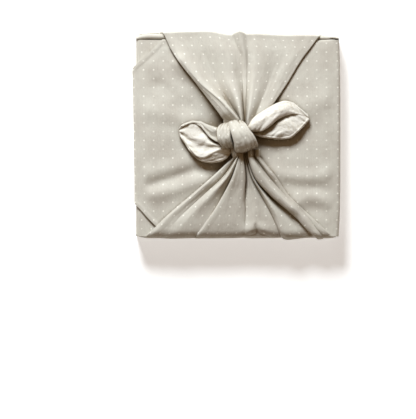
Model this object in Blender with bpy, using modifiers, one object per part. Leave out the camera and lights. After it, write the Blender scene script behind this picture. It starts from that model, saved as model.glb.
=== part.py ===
"""Furoshiki wrap on a flat gift box.

One square double-faced cloth is folded diamond-wise round a flat box: its left corner is folded over
the front first, its right corner covers that and tucks round the left side, and its top and bottom
corners are gathered over the front and tied there, which leaves two ears.

It lies on its back, front up: x to the right, y towards the top flap, z up from the underside.
Sizes below are in millimetres. MM turns them into metres where a mesh is made.
"""

import math
from collections import namedtuple

import bmesh
import bpy
import numpy as np

MM = 0.001

# Driving dimensions
CLOTH_SIDE = 680.0
TAKE_UP = 10.0
CLOTH = 1.2
LAYER_GAP = 0.5
TOUCH_GAP = 0.3
BOX_SIZE = (232.0, 222.0, 30.0)
BOX_CENTRE_X = 1.0
BOX_EDGE = 1.5

# Heights of the layers' middle surfaces
LONG_BACK = CLOTH / 2
CROSS_BACK = LONG_BACK + TOUCH_GAP
BOX_BOTTOM = CROSS_BACK + CLOTH / 2 + TOUCH_GAP
BOX_TOP = BOX_BOTTOM + BOX_SIZE[2]
INNER_FRONT = BOX_TOP + TOUCH_GAP + CLOTH / 2
OUTER_FRONT = INNER_FRONT + CLOTH + LAYER_GAP
FLAP_BASE = OUTER_FRONT + CLOTH / 2 + LAYER_GAP
RIM_TOP = OUTER_FRONT - 0.6

# The cross band's sides, middle surfaces
LEFT_INNER = -118.0
LEFT_OUTER = -120.9
LEFT_SKEW = 0.016
RIGHT_SIDE = 119.8
RIGHT_BULGE = 2.3
FRONT_EDGE = 113.8
FRONT_LIP = 5.6
LIP_END = 114.0
LIP_FADE = 12.0
BEND = 4.0
INNER_END = 104.0
TIP_END = 3.2
BULGE_HALF = 122.0
BULGE_START = 104.0
SKEW_START = 100.0
SKEW_FADE = 18.0
FOLD_SIDE = 117.0
FOLD_FADE = 14.0
PANEL_PUFF = 0.9

# The end walls: where their outer faces stand at the left and right corners, and how thick the
# folded rim is there
End = namedtuple("End", "sign left right rim_left rim_right")
TOP_END = End(1, left=121.0, right=117.6, rim_left=4.6, rim_right=1.8)
BOTTOM_END = End(-1, left=118.8, right=119.2, rim_left=2.4, rim_right=2.4)
END_CORNER = 1.2
RIM_RETURN = 9.0

# The cross band's columns: the end that each belongs to, how far it stays in from the edge, its
# share of the way there, and its share of the lip that the front panel turns down
BAND_COLUMNS = (
    (BOTTOM_END, 0.0, 1.0, 1.0),
    (BOTTOM_END, 0.1, 1.0, 0.45),
    (BOTTOM_END, 0.8, 1.0, 0.14),
    (BOTTOM_END, 2.6, 1.0, 0.0),
    *((BOTTOM_END, 2.6, k / 5, 0.0) for k in (4, 3, 2, 1)),
    *((TOP_END, 2.6, k / 5, 0.0) for k in (0, 1, 2, 3, 4)),
    (TOP_END, 2.6, 1.0, 0.0),
    (TOP_END, 0.8, 1.0, 0.14),
    (TOP_END, 0.1, 1.0, 0.45),
    (TOP_END, 0.0, 1.0, 1.0),
)

# Soft folds of the front panel, pulled towards the knot: the line each follows, its height and width
Crease = namedtuple("Crease", "line height width")
PANEL_CREASES = (
    Crease(((-96, -62), (-44, -46)), 2.4, 8),
    Crease(((-112, -54), (-60, -34)), -0.9, 6),
    Crease(((46, -42), (84, -49), (112, -44)), 1.9, 8),
    Crease(((62, -76), (78, -71), (106, -76)), 2.2, 7),
    Crease(((-104, 30), (-52, 16)), 1.4, 10),
    Crease(((56, 30), (108, 44)), 1.2, 12),
    Crease(((-98, 84), (-62, 46)), 1.2, 9),
)

# A flap's features, edges, ridges and valleys in order from left to right. Each has its x where the
# flap crosses the parcel's edge, at three lines on the way and at the throat under the knot, and its
# height over the flap's base at HEIGHT_REACHES on the way.
Feature = namedtuple("Feature", "x_edge x_far x_half x_near x_throat h_edge h_mid h_near h_throat")
HEIGHT_REACHES = (0.0, 0.45, 0.8, 1.0)
TOP_FLAP = (
    Feature(-85.0, -73.9, -48.9, -24.4, -7.0, 1.6, 2.4, 1.8, 1.6),
    Feature(-81.0, -70.5, -42.5, -6.8, 1.5, 2.4, 7.5, 14.0, 9.0),
    Feature(-60.0, -49.0, -24.0, -2.4, 3.8, 0.6, 0.1, 0.1, 0.9),
    Feature(-28.0, -20.0, -8.0, 3.4, 5.8, 2.4, 8.6, 12.0, 7.6),
    Feature(-8.0, 5.4, 7.1, 7.8, 7.6, 0.2, 0.1, 0.1, 0.6),
    Feature(3.0, 9.0, 10.0, 10.2, 9.0, 3.6, 4.2, 6.2, 5.0),
    Feature(9.5, 13.0, 14.0, 13.0, 10.4, 1.6, 0.1, 0.1, 1.0),
    Feature(18.0, 19.0, 20.0, 17.4, 11.8, 1.6, 6.8, 9.6, 6.4),
    Feature(56.0, 51.0, 38.0, 22.0, 14.2, 0.3, 1.2, 1.8, 2.0),
    Feature(78.0, 64.5, 50.0, 30.0, 17.0, 1.0, 3.8, 5.0, 3.4),
    Feature(98.5, 78.6, 62.2, 40.0, 20.0, 0.9, 1.4, 1.8, 1.2),
)
BOTTOM_FLAP = (
    Feature(-100.0, -86.5, -54.0, -5.5, 4.0, 1.0, 1.6, 2.2, 1.6),
    Feature(-94.0, -79.0, -47.0, -3.6, 4.9, 1.6, 3.8, 4.6, 3.6),
    Feature(-84.0, -68.0, -41.0, -2.4, 5.4, 0.8, 1.6, 1.8, 1.4),
    Feature(-72.0, -55.0, -33.0, -1.0, 6.0, 2.0, 6.5, 7.0, 5.4),
    Feature(-55.0, -37.0, -18.5, 1.0, 6.8, 0.2, 0.1, 0.1, 0.6),
    Feature(-46.0, -27.0, -11.5, 3.4, 7.6, 1.6, 6.5, 7.2, 5.8),
    Feature(-6.0, -0.6, 4.0, 8.4, 9.0, 1.8, 7.2, 8.0, 6.4),
    Feature(4.0, 5.9, 8.6, 11.0, 10.6, 0.2, 0.1, 0.1, 0.6),
    Feature(12.0, 17.0, 15.8, 12.6, 11.4, 2.4, 4.8, 5.4, 5.0),
    Feature(30.0, 36.0, 25.3, 13.8, 12.4, 0.3, 0.2, 0.3, 0.8),
    Feature(60.7, 44.0, 30.0, 15.0, 13.2, 4.0, 3.8, 4.6, 4.0),
    Feature(86.0, 66.0, 40.0, 16.2, 14.0, 0.2, 0.1, 0.1, 0.6),
    Feature(90.5, 73.0, 52.0, 21.0, 17.0, 1.4, 8.6, 10.0, 7.4),
    Feature(98.0, 77.6, 57.6, 29.6, 21.0, 0.1, 1.2, 0.5, 1.4),
    Feature(107.5, 78.9, 58.8, 32.6, 22.6, 1.3, 1.3, 5.0, 3.6),
    Feature(110.5, 80.0, 59.6, 35.0, 24.0, 0.8, 1.0, 2.0, 1.2),
)
FLAP_LINES = {1: (113.0, 92.0, 62.0, 30.0, 8.0), -1: (-113.0, -95.0, -70.0, -34.0, -16.0)}
FLAP_ROWS = 12
FLAP_LIFT = 8.5
LIFT_START = 14.0
LIFT_REACH = 62.0
FEATURE_STEPS = 2
LEAST_PLEAT = 0.8
FOOT_INSET = 31.0

# The ears: from root to tip, plan places of their upper and lower edges, and the heights of the
# sheet over the underside at EAR_SHARES of the way across
EarRow = namedtuple("EarRow", "up_x up_y low_x low_y edge roll hem pocket rise low")
RIGHT_EAR = (
    EarRow(4.0, 10.0, 9.0, -2.0, 48.0, 56.0, 53.0, 49.0, 50.0, 47.0),
    EarRow(10.7, 12.6, 17.0, 1.6, 48.0, 58.5, 54.0, 47.5, 49.5, 46.5),
    EarRow(16.6, 18.6, 22.4, 1.6, 47.5, 60.0, 54.5, 46.0, 48.5, 45.5),
    EarRow(26.6, 26.2, 30.0, -1.0, 46.5, 60.5, 54.0, 45.0, 47.5, 44.5),
    EarRow(38.4, 33.6, 40.0, -2.6, 46.0, 59.5, 53.0, 44.0, 47.0, 43.5),
    EarRow(48.6, 38.8, 51.0, -3.6, 45.0, 57.5, 51.5, 43.5, 46.5, 43.0),
    EarRow(57.4, 41.4, 61.5, -2.4, 44.0, 54.0, 50.0, 43.0, 46.0, 42.5),
    EarRow(65.4, 39.6, 70.6, 3.4, 43.0, 50.5, 47.5, 42.5, 45.0, 42.0),
    EarRow(73.0, 33.4, 78.2, 10.6, 42.0, 47.0, 45.5, 42.0, 43.5, 41.5),
    EarRow(79.6, 27.4, 82.6, 15.4, 41.0, 43.5, 43.0, 41.5, 42.3, 41.0),
    EarRow(84.2, 23.0, 85.2, 20.2, 40.8, 41.2, 41.2, 41.0, 41.0, 40.8),
)
LEFT_EAR = (
    EarRow(-9.0, 8.0, -4.0, -13.6, 52.2, 55.2, 53.2, 50.2, 51.2, 52.2),
    EarRow(-17.5, 9.6, -7.0, -19.0, 53.0, 56.0, 53.0, 50.0, 50.0, 53.0),
    EarRow(-23.5, 9.8, -11.5, -25.4, 53.0, 56.0, 52.5, 49.5, 50.0, 53.0),
    EarRow(-30.0, 12.0, -19.5, -30.0, 53.0, 55.5, 51.0, 48.5, 49.5, 51.5),
    EarRow(-36.5, 14.6, -28.6, -31.4, 52.0, 53.5, 49.0, 47.0, 47.5, 49.0),
    EarRow(-43.0, 17.0, -38.0, -29.6, 50.5, 50.5, 47.0, 45.5, 46.0, 46.0),
    EarRow(-50.0, 17.2, -47.4, -24.8, 48.5, 47.5, 45.0, 44.0, 44.5, 43.5),
    EarRow(-57.0, 15.2, -56.0, -17.4, 46.0, 45.5, 43.0, 42.5, 43.0, 42.0),
    EarRow(-63.6, 11.8, -63.6, -6.8, 43.5, 43.5, 42.0, 41.5, 42.0, 41.5),
    EarRow(-67.6, 7.8, -67.6, 1.4, 41.5, 41.5, 41.2, 41.2, 41.2, 41.0),
)
EAR_SHARES = (0.0, 0.26, 0.48, 0.6, 0.82, 1.0)
EAR_COLUMNS = 11
EAR_STEPS = 2
EAR_THICKNESS = 1.8

# The knot: bands of bunched cloth, as routes with a width and a depth at each place
KnotRow = namedtuple("KnotRow", "x y z width depth")
LEFT_TURN = (
    KnotRow(-7.5, 14.0, 43.0, 13.0, 7.0),
    KnotRow(-12.5, 11.5, 53.0, 15.0, 8.0),
    KnotRow(-15.0, 5.0, 59.5, 16.0, 9.0),
    KnotRow(-14.6, -2.0, 61.0, 15.5, 9.0),
    KnotRow(-12.2, -8.5, 58.0, 14.0, 8.5),
    KnotRow(-9.5, -12.5, 51.0, 12.5, 7.0),
    KnotRow(-8.0, -13.0, 43.0, 10.0, 6.0),
)
RIGHT_TURN = (
    KnotRow(-4.0, 14.0, 42.0, 14.0, 8.0),
    KnotRow(-2.0, 14.5, 53.0, 17.0, 9.0),
    KnotRow(1.8, 9.5, 61.5, 19.5, 11.0),
    KnotRow(5.8, 1.0, 65.5, 22.0, 12.5),
    KnotRow(9.6, -7.0, 63.5, 25.5, 12.5),
    KnotRow(11.5, -13.0, 56.0, 27.0, 10.5),
    KnotRow(12.0, -14.5, 46.0, 24.0, 8.5),
)
UNDER_TURN = (
    KnotRow(2.0, -6.0, 48.0, 18.0, 9.0),
    KnotRow(1.0, -16.0, 49.0, 15.0, 8.0),
    KnotRow(0.2, -24.0, 45.5, 9.0, 6.0),
    KnotRow(0.0, -28.6, 41.5, 3.0, 3.0),
)
KNOT_CORE = ((1.0, 0.0, 50.0), (20.5, 16.0, 12.0))
KNOT_MIDDLE = 44.0
KNOT_LEAN = 0.7
TURN_SIDES = 12
TURN_STEPS = 3
PLEAT_DEPTH = 0.6


def clear_scene():
    for obj in list(bpy.data.objects):
        bpy.data.objects.remove(obj, do_unlink=True)


def new_collection(name):
    collection = bpy.data.collections.new(name)
    bpy.context.scene.collection.children.link(collection)
    return collection


def material(name, colour, roughness):
    made = bpy.data.materials.new(name)
    made.use_nodes = True
    shader = made.node_tree.nodes["Principled BSDF"]
    shader.inputs["Base Color"].default_value = (*colour, 1.0)
    shader.inputs["Roughness"].default_value = roughness
    shader.inputs["Metallic"].default_value = 0.0
    return made


def smoothstep(value):
    value = np.clip(value, 0.0, 1.0)
    return value * value * (3.0 - 2.0 * value)


def through(place, places, values):
    """A smooth curve through values at rising places, without overshoot, read at place."""
    places = np.asarray(places, float)
    values = np.asarray(values, float)
    spans = np.diff(places).reshape((-1,) + (1,) * (values.ndim - 1))
    rates = np.diff(values, axis=0) / spans
    before, after = rates[:-1], rates[1:]
    agree = before * after > 0
    mean = 2.0 * before * after / np.where(agree, before + after, 1.0)
    slopes = np.concatenate([rates[:1], np.where(agree, mean, 0.0), rates[-1:]])
    i = int(np.clip(np.searchsorted(places, place) - 1, 0, len(places) - 2))
    span = places[i + 1] - places[i]
    t = (place - places[i]) / span
    return (
        (2 * t**3 - 3 * t**2 + 1) * values[i]
        + (t**3 - 2 * t**2 + t) * span * slopes[i]
        + (3 * t**2 - 2 * t**3) * values[i + 1]
        + (t**3 - t**2) * span * slopes[i + 1]
    )


def panel_folds(x, y):
    """How far the front panel's soft folds raise it."""
    total = 0.0
    place = np.array((x, y))
    for crease in PANEL_CREASES:
        nearest = math.inf
        for start, end in zip(crease.line, crease.line[1:]):
            run = np.subtract(end, start)
            along = np.clip(np.dot(place - start, run) / np.dot(run, run), 0.0, 1.0)
            nearest = min(nearest, np.linalg.norm(place - start - along * run))
        total += crease.height * math.exp(-((nearest / crease.width) ** 2))
    border = smoothstep((FRONT_EDGE - abs(y)) / FOLD_FADE) * smoothstep((FOLD_SIDE - abs(x)) / FOLD_FADE)
    return (PANEL_PUFF + total) * border


def end_outer(end, x):
    """The y of an end wall's outer face at x, with its softened corners."""
    share = (x - LEFT_INNER) / (RIGHT_SIDE - LEFT_INNER)
    out = end.left + (end.right - end.left) * share
    corner = abs(2.0 * share - 1.0) ** 24
    return end.sign * (out - END_CORNER * min(corner, 1.0))


def rounded_path(corners, arc_steps):
    """Points along a 2D path whose corners are (a, b, radius, steps of the run that leads to it)."""
    places = [np.array(corner[:2], float) for corner in corners]
    points = [places[0]]
    for i in range(1, len(places)):
        here, radius, steps = places[i], corners[i][2], corners[i][3]
        into = (here - places[i - 1]) / np.linalg.norm(here - places[i - 1])
        start = here - into * radius
        last = points[-1]
        points += [last + (start - last) * k / steps for k in range(1, steps + 1)]
        if radius == 0:
            continue
        out = (places[i + 1] - here) / np.linalg.norm(places[i + 1] - here)
        centre = start + out * radius
        for k in range(1, arc_steps + 1):
            angle = math.pi / 2 * k / arc_steps
            points.append(centre - out * radius * math.cos(angle) + into * radius * math.sin(angle))
    return points


def mesh_object(name, points, faces, collection):
    mesh = bpy.data.meshes.new(name)
    mesh.from_pydata([tuple(MM * np.asarray(p, float)) for p in points], [], faces)
    made = bmesh.new()
    made.from_mesh(mesh)
    bmesh.ops.recalc_face_normals(made, faces=made.faces)
    made.to_mesh(mesh)
    made.free()
    obj = bpy.data.objects.new(name, mesh)
    collection.objects.link(obj)
    return obj


def quads(rows, columns, start=0):
    """Faces of a grid of points, row by row."""
    faces = []
    for i in range(rows - 1):
        for j in range(columns - 1):
            a = start + i * columns + j
            faces.append((a, a + 1, a + columns + 1, a + columns))
    return faces


def sheet(name, grid, collection):
    """A thin cloth from a grid of points on its middle surface."""
    rows, columns = len(grid), len(grid[0])
    obj = mesh_object(name, [p for row in grid for p in row], quads(rows, columns), collection)
    solidify = obj.modifiers.new("Cloth thickness", "SOLIDIFY")
    solidify.thickness = CLOTH * MM
    solidify.offset = 0.0
    solidify.use_even_offset = False
    return obj


def two_faced(name, outer, inner, collection):
    """A closed sheet between two grids of the same shape, joined round their borders."""
    rows, columns = len(outer), len(outer[0])
    count = rows * columns
    points = [p for row in outer for p in row] + [p for row in inner for p in row]
    faces = quads(rows, columns) + [face[::-1] for face in quads(rows, columns, count)]
    border = [j for j in range(columns)]
    border += [i * columns + columns - 1 for i in range(1, rows)]
    border += [(rows - 1) * columns + j for j in range(columns - 2, -1, -1)]
    border += [i * columns for i in range(rows - 2, 0, -1)]
    for a, b in zip(border, border[1:] + border[:1]):
        faces.append((b, a, a + count, b + count))
    return mesh_object(name, points, faces, collection)


def cross_band(collection):
    """The left and right corners: over the front, down the left side, across the back, up the
    right side, over the front again and round the left side, where the tip is tucked under."""
    corners = (
        (INNER_END, INNER_FRONT, 0, 0),
        (LEFT_INNER, INNER_FRONT, BEND, 3),
        (LEFT_INNER, CROSS_BACK, BEND, 2),
        (RIGHT_SIDE, CROSS_BACK, BEND, 2),
        (RIGHT_SIDE, OUTER_FRONT, BEND, 3),
        (LEFT_OUTER, OUTER_FRONT, BEND, 22),
        (LEFT_OUTER, TIP_END, 0, 4),
    )
    path = rounded_path(corners, 3)
    lengths = np.concatenate([[0.0], np.cumsum([math.dist(a, b) for a, b in zip(path, path[1:])])])
    back = [s for s, (x, z) in zip(lengths, path) if z < CROSS_BACK + 0.01]
    middle = (back[0] + back[-1]) / 2
    half_diagonal = CLOTH_SIDE / math.sqrt(2.0) - TAKE_UP
    grid = []
    for s, (x, z) in zip(lengths, path):
        on_front = smoothstep((z - (INNER_FRONT - BEND)) / BEND)
        outermost = s > middle
        hem = half_diagonal - abs(s - middle)
        row = []
        for end, inset, share, lip in BAND_COLUMNS:
            wall = abs(end_outer(end, x)) - (4.0 if z < CROSS_BACK + 1.0 else 0.5)
            limit = wall + (FRONT_EDGE - CLOTH / 2 - wall) * on_front
            turned = smoothstep((LIP_END - abs(x)) / LIP_FADE) * smoothstep((hem - limit) / LIP_FADE)
            drop = lip * FRONT_LIP * turned * on_front if outermost else 0.0
            y = end.sign * share * (min(limit, hem) - inset)
            folds = panel_folds(x, y) if outermost else 0.0
            bulge = 0.0
            if outermost and x > 0:
                bulge = RIGHT_BULGE * (1.0 - (y / BULGE_HALF) ** 2) * smoothstep((x - BULGE_START) / FOLD_FADE)
            elif outermost:
                bulge = -LEFT_SKEW * y * smoothstep((-x - SKEW_START) / SKEW_FADE)
            row.append((x + bulge, y, z + on_front * folds - drop))
        grid.append(row)
    return sheet("cross band", grid, collection)


def long_band(collection):
    """The back, and the end walls that stand up from it to folded rims."""
    grid = []
    for x in np.concatenate([[LEFT_INNER - 0.4], np.linspace(-114.0, 116.0, 11), [RIGHT_SIDE + 0.5]]):
        share = (x - LEFT_INNER) / (RIGHT_SIDE - LEFT_INNER)
        top = end_outer(TOP_END, x) - CLOTH / 2
        bottom = end_outer(BOTTOM_END, x) + CLOTH / 2
        top_fold = TOP_END.rim_left + (TOP_END.rim_right - TOP_END.rim_left) * share
        low_fold = BOTTOM_END.rim_left + (BOTTOM_END.rim_right - BOTTOM_END.rim_left) * share
        path = rounded_path(
            (
                (top - top_fold, RIM_TOP - RIM_RETURN, 0, 0),
                (top - top_fold, RIM_TOP, top_fold / 2 - 0.01, 1),
                (top, RIM_TOP, top_fold / 2 - 0.01, 1),
                (top, LONG_BACK, 3.0, 2),
                (bottom, LONG_BACK, 3.0, 2),
                (bottom, RIM_TOP, low_fold / 2 - 0.01, 2),
                (bottom + low_fold, RIM_TOP, low_fold / 2 - 0.01, 1),
                (bottom + low_fold, RIM_TOP - RIM_RETURN, 0, 1),
            ),
            3,
        )
        grid.append([(x, y, z) for y, z in path])
    return sheet("long band", grid, collection)


def feature_column(features, lines, y, reach):
    """x and height of every column of a flap on the line y. reach goes from 0 at the parcel's
    edge to 1 at the throat."""
    ways = [abs(line - lines[0]) for line in lines]
    xs, hs = [], []
    for f in features:
        values = (f.x_edge, f.x_far, f.x_half, f.x_near, f.x_throat)
        xs.append(float(through(abs(y - lines[0]), ways, values)))
        hs.append(max(float(through(reach, HEIGHT_REACHES, f[5:9])), 0.0))
    for k in range(1, len(xs)):
        xs[k] = max(xs[k], xs[k - 1] + LEAST_PLEAT)
    columns = []
    for k in range(len(xs) - 1):
        for i in range(FEATURE_STEPS):
            share = i / FEATURE_STEPS
            columns.append(
                (
                    xs[k] + (xs[k + 1] - xs[k]) * share,
                    hs[k] + (hs[k + 1] - hs[k]) * float(smoothstep(share)),
                )
            )
    columns.append((xs[-1], hs[-1]))
    return columns


def flap(name, end, features, collection):
    """A flap: up the outside of an end wall, over its rim, and gathered to the throat under the
    knot. Its outer face carries the folds, and its edges are turned under, so they are thicker."""
    lines = FLAP_LINES[end.sign]
    outer, inner = [], []
    wall_heights = (2.5, 12.0, 22.0, FLAP_BASE - BEND)
    arc = [math.radians(a) for a in (30.0, 60.0, 90.0)]
    rows = [("wall", z) for z in wall_heights] + [("arc", a) for a in arc]
    rows += [("front", k / FLAP_ROWS) for k in range(1, FLAP_ROWS + 1)]
    for kind, value in rows:
        reach = value if kind == "front" else 0.0
        y_line = lines[0] + (lines[-1] - lines[0]) * reach
        columns = feature_column(features, lines, y_line, reach)
        spread = 0.0
        if kind == "wall":
            spread = 1.0 - (value - wall_heights[0]) / (wall_heights[-1] - wall_heights[0])
        left, right = columns[0][0], columns[-1][0]
        left_foot = max(left - FOOT_INSET, LEFT_INNER + 2.0)
        right_foot = min(right + FOOT_INSET, RIGHT_SIDE - 2.0)
        outer_row, inner_row = [], []
        for k, (x, height) in enumerate(columns):
            share = (x - left) / (right - left)
            x += spread * ((left_foot - left) * (1.0 - share) + (right_foot - right) * share)
            height *= 1.0 - 0.8 * spread
            edge = k in (0, len(columns) - 1)
            wall_y = abs(end_outer(end, x)) - 0.6
            if kind == "wall":
                base, normal = np.array((wall_y, value)), np.array((1.0, 0.0))
            elif kind == "arc":
                centre = np.array((wall_y - BEND, FLAP_BASE - BEND))
                normal = np.array((math.cos(value), math.sin(value)))
                base = centre + BEND * normal
            else:
                away = np.linalg.norm((x - 6.0, y_line - 6.0 * end.sign))
                lift = FLAP_LIFT * (1.0 - float(smoothstep((away - LIFT_START) / LIFT_REACH)))
                floor = FLAP_BASE + panel_folds(x, y_line) + lift
                y = abs(y_line) + (wall_y - BEND - abs(lines[0])) * (1.0 - reach)
                base, normal = np.array((y, floor)), np.array((0.0, 1.0))
            under = 0.0 if edge or kind == "wall" else height * 0.82
            below = base + normal * under
            above = base + normal * (height + CLOTH * (1.0 if edge else 1.25))
            outer_row.append((x, end.sign * above[0], above[1]))
            inner_row.append((x, end.sign * below[0], below[1]))
        outer.append(outer_row)
        inner.append(inner_row)
    return two_faced(name, outer, inner, collection)


def ear(name, table, collection):
    """A cupped corner of the cloth: a rolled upper edge, a pocket and a flared lower edge."""
    outer, inner = [], []
    places = range(len(table))
    values = np.array(table)
    for i in range((len(table) - 1) * EAR_STEPS + 1):
        row = EarRow(*through(i / EAR_STEPS, places, values))
        heights = (row.edge, row.roll, row.hem, row.pocket, row.rise, row.low)
        outer_row, inner_row = [], []
        for share in np.linspace(0.0, 1.0, EAR_COLUMNS):
            height = float(through(share, EAR_SHARES, heights))
            x = row.up_x + (row.low_x - row.up_x) * share
            y = row.up_y + (row.low_y - row.up_y) * share
            outer_row.append((x, y, height + EAR_THICKNESS / 2))
            inner_row.append((x, y, height - EAR_THICKNESS / 2))
        outer.append(outer_row)
        inner.append(inner_row)
    return two_faced(name, outer, inner, collection)


def turn(name, table, pleats, collection):
    """A band of bunched cloth along a route, oval across, with pleats along its outer side."""
    values = np.array(table)
    places = range(len(table))
    count = (len(table) - 1) * TURN_STEPS + 1
    rows = [KnotRow(*through(i / TURN_STEPS, places, values)) for i in range(count)]
    line = np.array([(r.x, r.y, r.z) for r in rows])
    tangents = np.gradient(line, axis=0)
    points = []
    for row, place, tangent in zip(rows, line, tangents):
        tangent /= np.linalg.norm(tangent)
        outward = place * (1.0 - KNOT_LEAN, 1.0, 1.0) - (0.0, 0.0, KNOT_MIDDLE)
        outward -= tangent * np.dot(outward, tangent)
        outward /= np.linalg.norm(outward)
        across = np.cross(tangent, outward)
        for k in range(TURN_SIDES):
            angle = 2.0 * math.pi * k / TURN_SIDES
            groove = PLEAT_DEPTH * math.cos(pleats * angle) * max(math.sin(angle), 0.0)
            points.append(
                place
                + across * (row.width / 2) * math.cos(angle)
                + outward * (row.depth / 2 + groove) * math.sin(angle)
            )
    faces = []
    for i in range(count - 1):
        for k in range(TURN_SIDES):
            a, b = i * TURN_SIDES + k, i * TURN_SIDES + (k + 1) % TURN_SIDES
            faces.append((a, b, b + TURN_SIDES, a + TURN_SIDES))
    faces.append(tuple(range(TURN_SIDES - 1, -1, -1)))
    faces.append(tuple(range((count - 1) * TURN_SIDES, count * TURN_SIDES)))
    return mesh_object(name, points, faces, collection)


def knot_core(collection):
    (x, y, z), radii = KNOT_CORE
    made = bmesh.new()
    bmesh.ops.create_uvsphere(made, u_segments=16, v_segments=10, radius=1.0)
    bmesh.ops.scale(made, vec=[r * MM for r in radii], verts=made.verts)
    bmesh.ops.translate(made, vec=(x * MM, y * MM, z * MM), verts=made.verts)
    mesh = bpy.data.meshes.new("knot core")
    made.to_mesh(mesh)
    made.free()
    obj = bpy.data.objects.new("knot core", mesh)
    collection.objects.link(obj)
    return obj


def unite(obj, others):
    for other in others:
        union = obj.modifiers.new("With " + other.name, "BOOLEAN")
        union.operation = "UNION"
        union.solver = "EXACT"
        union.object = other
        other.hide_render = True
        other.display_type = "WIRE"


def wrap_cloth(parts, helpers):
    cloth = long_band(parts)
    cloth.name = "wrap_cloth"
    pieces = [
        cross_band(helpers),
        flap("top flap", TOP_END, TOP_FLAP, helpers),
        flap("bottom flap", BOTTOM_END, BOTTOM_FLAP, helpers),
        knot_core(helpers),
        ear("left ear", LEFT_EAR, helpers),
        ear("right ear", RIGHT_EAR, helpers),
        turn("left turn", LEFT_TURN, 5, helpers),
        turn("right turn", RIGHT_TURN, 3, helpers),
        turn("under turn", UNDER_TURN, 3, helpers),
    ]
    unite(cloth, pieces)
    cloth.data.materials.append(material("taupe cloth", (0.60, 0.56, 0.50), 0.85))
    return cloth


def gift_box(parts):
    bpy.ops.mesh.primitive_cube_add(size=1.0)
    box = bpy.context.active_object
    box.name = "gift_box"
    for collection in list(box.users_collection):
        collection.objects.unlink(box)
    parts.objects.link(box)
    box.scale = [side * MM for side in BOX_SIZE]
    bpy.ops.object.transform_apply(location=False, rotation=False, scale=True)
    box.location = (BOX_CENTRE_X * MM, 0.0, (BOX_BOTTOM + BOX_SIZE[2] / 2) * MM)
    bevel = box.modifiers.new("Edges", "BEVEL")
    bevel.width = BOX_EDGE * MM
    bevel.segments = 2
    box.data.materials.append(material("card", (0.72, 0.66, 0.56), 0.8))
    return box


def main():
    clear_scene()
    parts = new_collection("Furoshiki wrap")
    helpers = new_collection("Pieces united into the cloth")
    wrap_cloth(parts, helpers)
    gift_box(parts)


main()
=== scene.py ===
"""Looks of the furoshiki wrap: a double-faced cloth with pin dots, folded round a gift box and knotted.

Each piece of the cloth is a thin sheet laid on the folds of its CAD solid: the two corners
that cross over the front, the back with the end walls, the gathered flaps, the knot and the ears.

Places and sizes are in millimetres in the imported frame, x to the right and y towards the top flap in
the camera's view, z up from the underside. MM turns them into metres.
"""

import math
from collections import namedtuple

import bpy
import numpy as np
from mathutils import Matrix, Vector


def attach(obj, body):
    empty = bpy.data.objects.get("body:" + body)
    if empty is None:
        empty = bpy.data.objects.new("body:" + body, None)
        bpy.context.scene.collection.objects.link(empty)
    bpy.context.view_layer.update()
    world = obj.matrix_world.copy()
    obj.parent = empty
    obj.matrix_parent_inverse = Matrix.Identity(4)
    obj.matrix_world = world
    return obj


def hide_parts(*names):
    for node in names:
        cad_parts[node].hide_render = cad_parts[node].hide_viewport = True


MM = 0.001

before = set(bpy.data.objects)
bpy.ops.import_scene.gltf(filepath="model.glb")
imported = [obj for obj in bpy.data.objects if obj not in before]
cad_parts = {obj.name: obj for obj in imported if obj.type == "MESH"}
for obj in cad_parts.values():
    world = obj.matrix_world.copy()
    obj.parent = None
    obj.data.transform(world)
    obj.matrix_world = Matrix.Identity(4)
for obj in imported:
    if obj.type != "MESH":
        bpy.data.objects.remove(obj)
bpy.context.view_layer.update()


def rows_of(kind, *rows):
    """A table of rows of one kind, from their values."""
    return [kind(*row) for row in rows]


# The cloth and its layers. All but SHEET, the hems, LOW_RIM_TOP and LOW_FRONT_EDGE are as in the CAD
# model.
CLOTH_SIDE = 680.0
TAKE_UP = 10.0
CLOTH = 1.2
SHEET = 0.9
HEM_WIDTH = 7.0
HEM_RISE = 0.7
LAYER_GAP = 0.5
TOUCH_GAP = 0.3
BOX_HEIGHT = 30.0

LONG_BACK = CLOTH / 2
CROSS_BACK = LONG_BACK + TOUCH_GAP
BOX_TOP = CROSS_BACK + CLOTH / 2 + TOUCH_GAP + BOX_HEIGHT
INNER_FRONT = BOX_TOP + TOUCH_GAP + CLOTH / 2
OUTER_FRONT = INNER_FRONT + CLOTH + LAYER_GAP
FLAP_BASE = OUTER_FRONT + CLOTH / 2 + LAYER_GAP
RIM_TOP = OUTER_FRONT - 0.6
LOW_RIM_TOP = INNER_FRONT - 1.0

LEFT_INNER = -118.0
LEFT_OUTER = -120.9
LEFT_SKEW = 0.016
RIGHT_SIDE = 119.8
RIGHT_BULGE = 2.3
FRONT_EDGE = 113.8
LOW_FRONT_EDGE = 119.0
LIP_END = 114.0
LIP_FADE = 12.0
BEND = 4.0
BULGE_HALF = 122.0
BULGE_START = 104.0
SKEW_START = 100.0
SKEW_FADE = 18.0
FOLD_SIDE = 117.0
FOLD_FADE = 14.0
PANEL_PUFF = 0.9
INNER_END = 104.0
TIP_END = 3.2

# The end walls: where they stand at the left and right corners, and how deep their folded rim is. The
# top one is deeper than in the CAD model.
End = namedtuple("End", "sign left right rim_left rim_right")
TOP_END = End(1, left=121.0, right=117.6, rim_left=6.0, rim_right=2.7)
BOTTOM_END = End(-1, left=118.8, right=119.2, rim_left=2.4, rim_right=2.4)
END_CORNER = 1.2
CORNER_POWER = 24
RIM_RETURN = 9.0

# Pin dots: the lattice follows the parcel's sides
DOT_PITCH = (11.3, 10.4)
DOT_RADIUS = 1.0
THREAD_PITCH = 0.55

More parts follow.
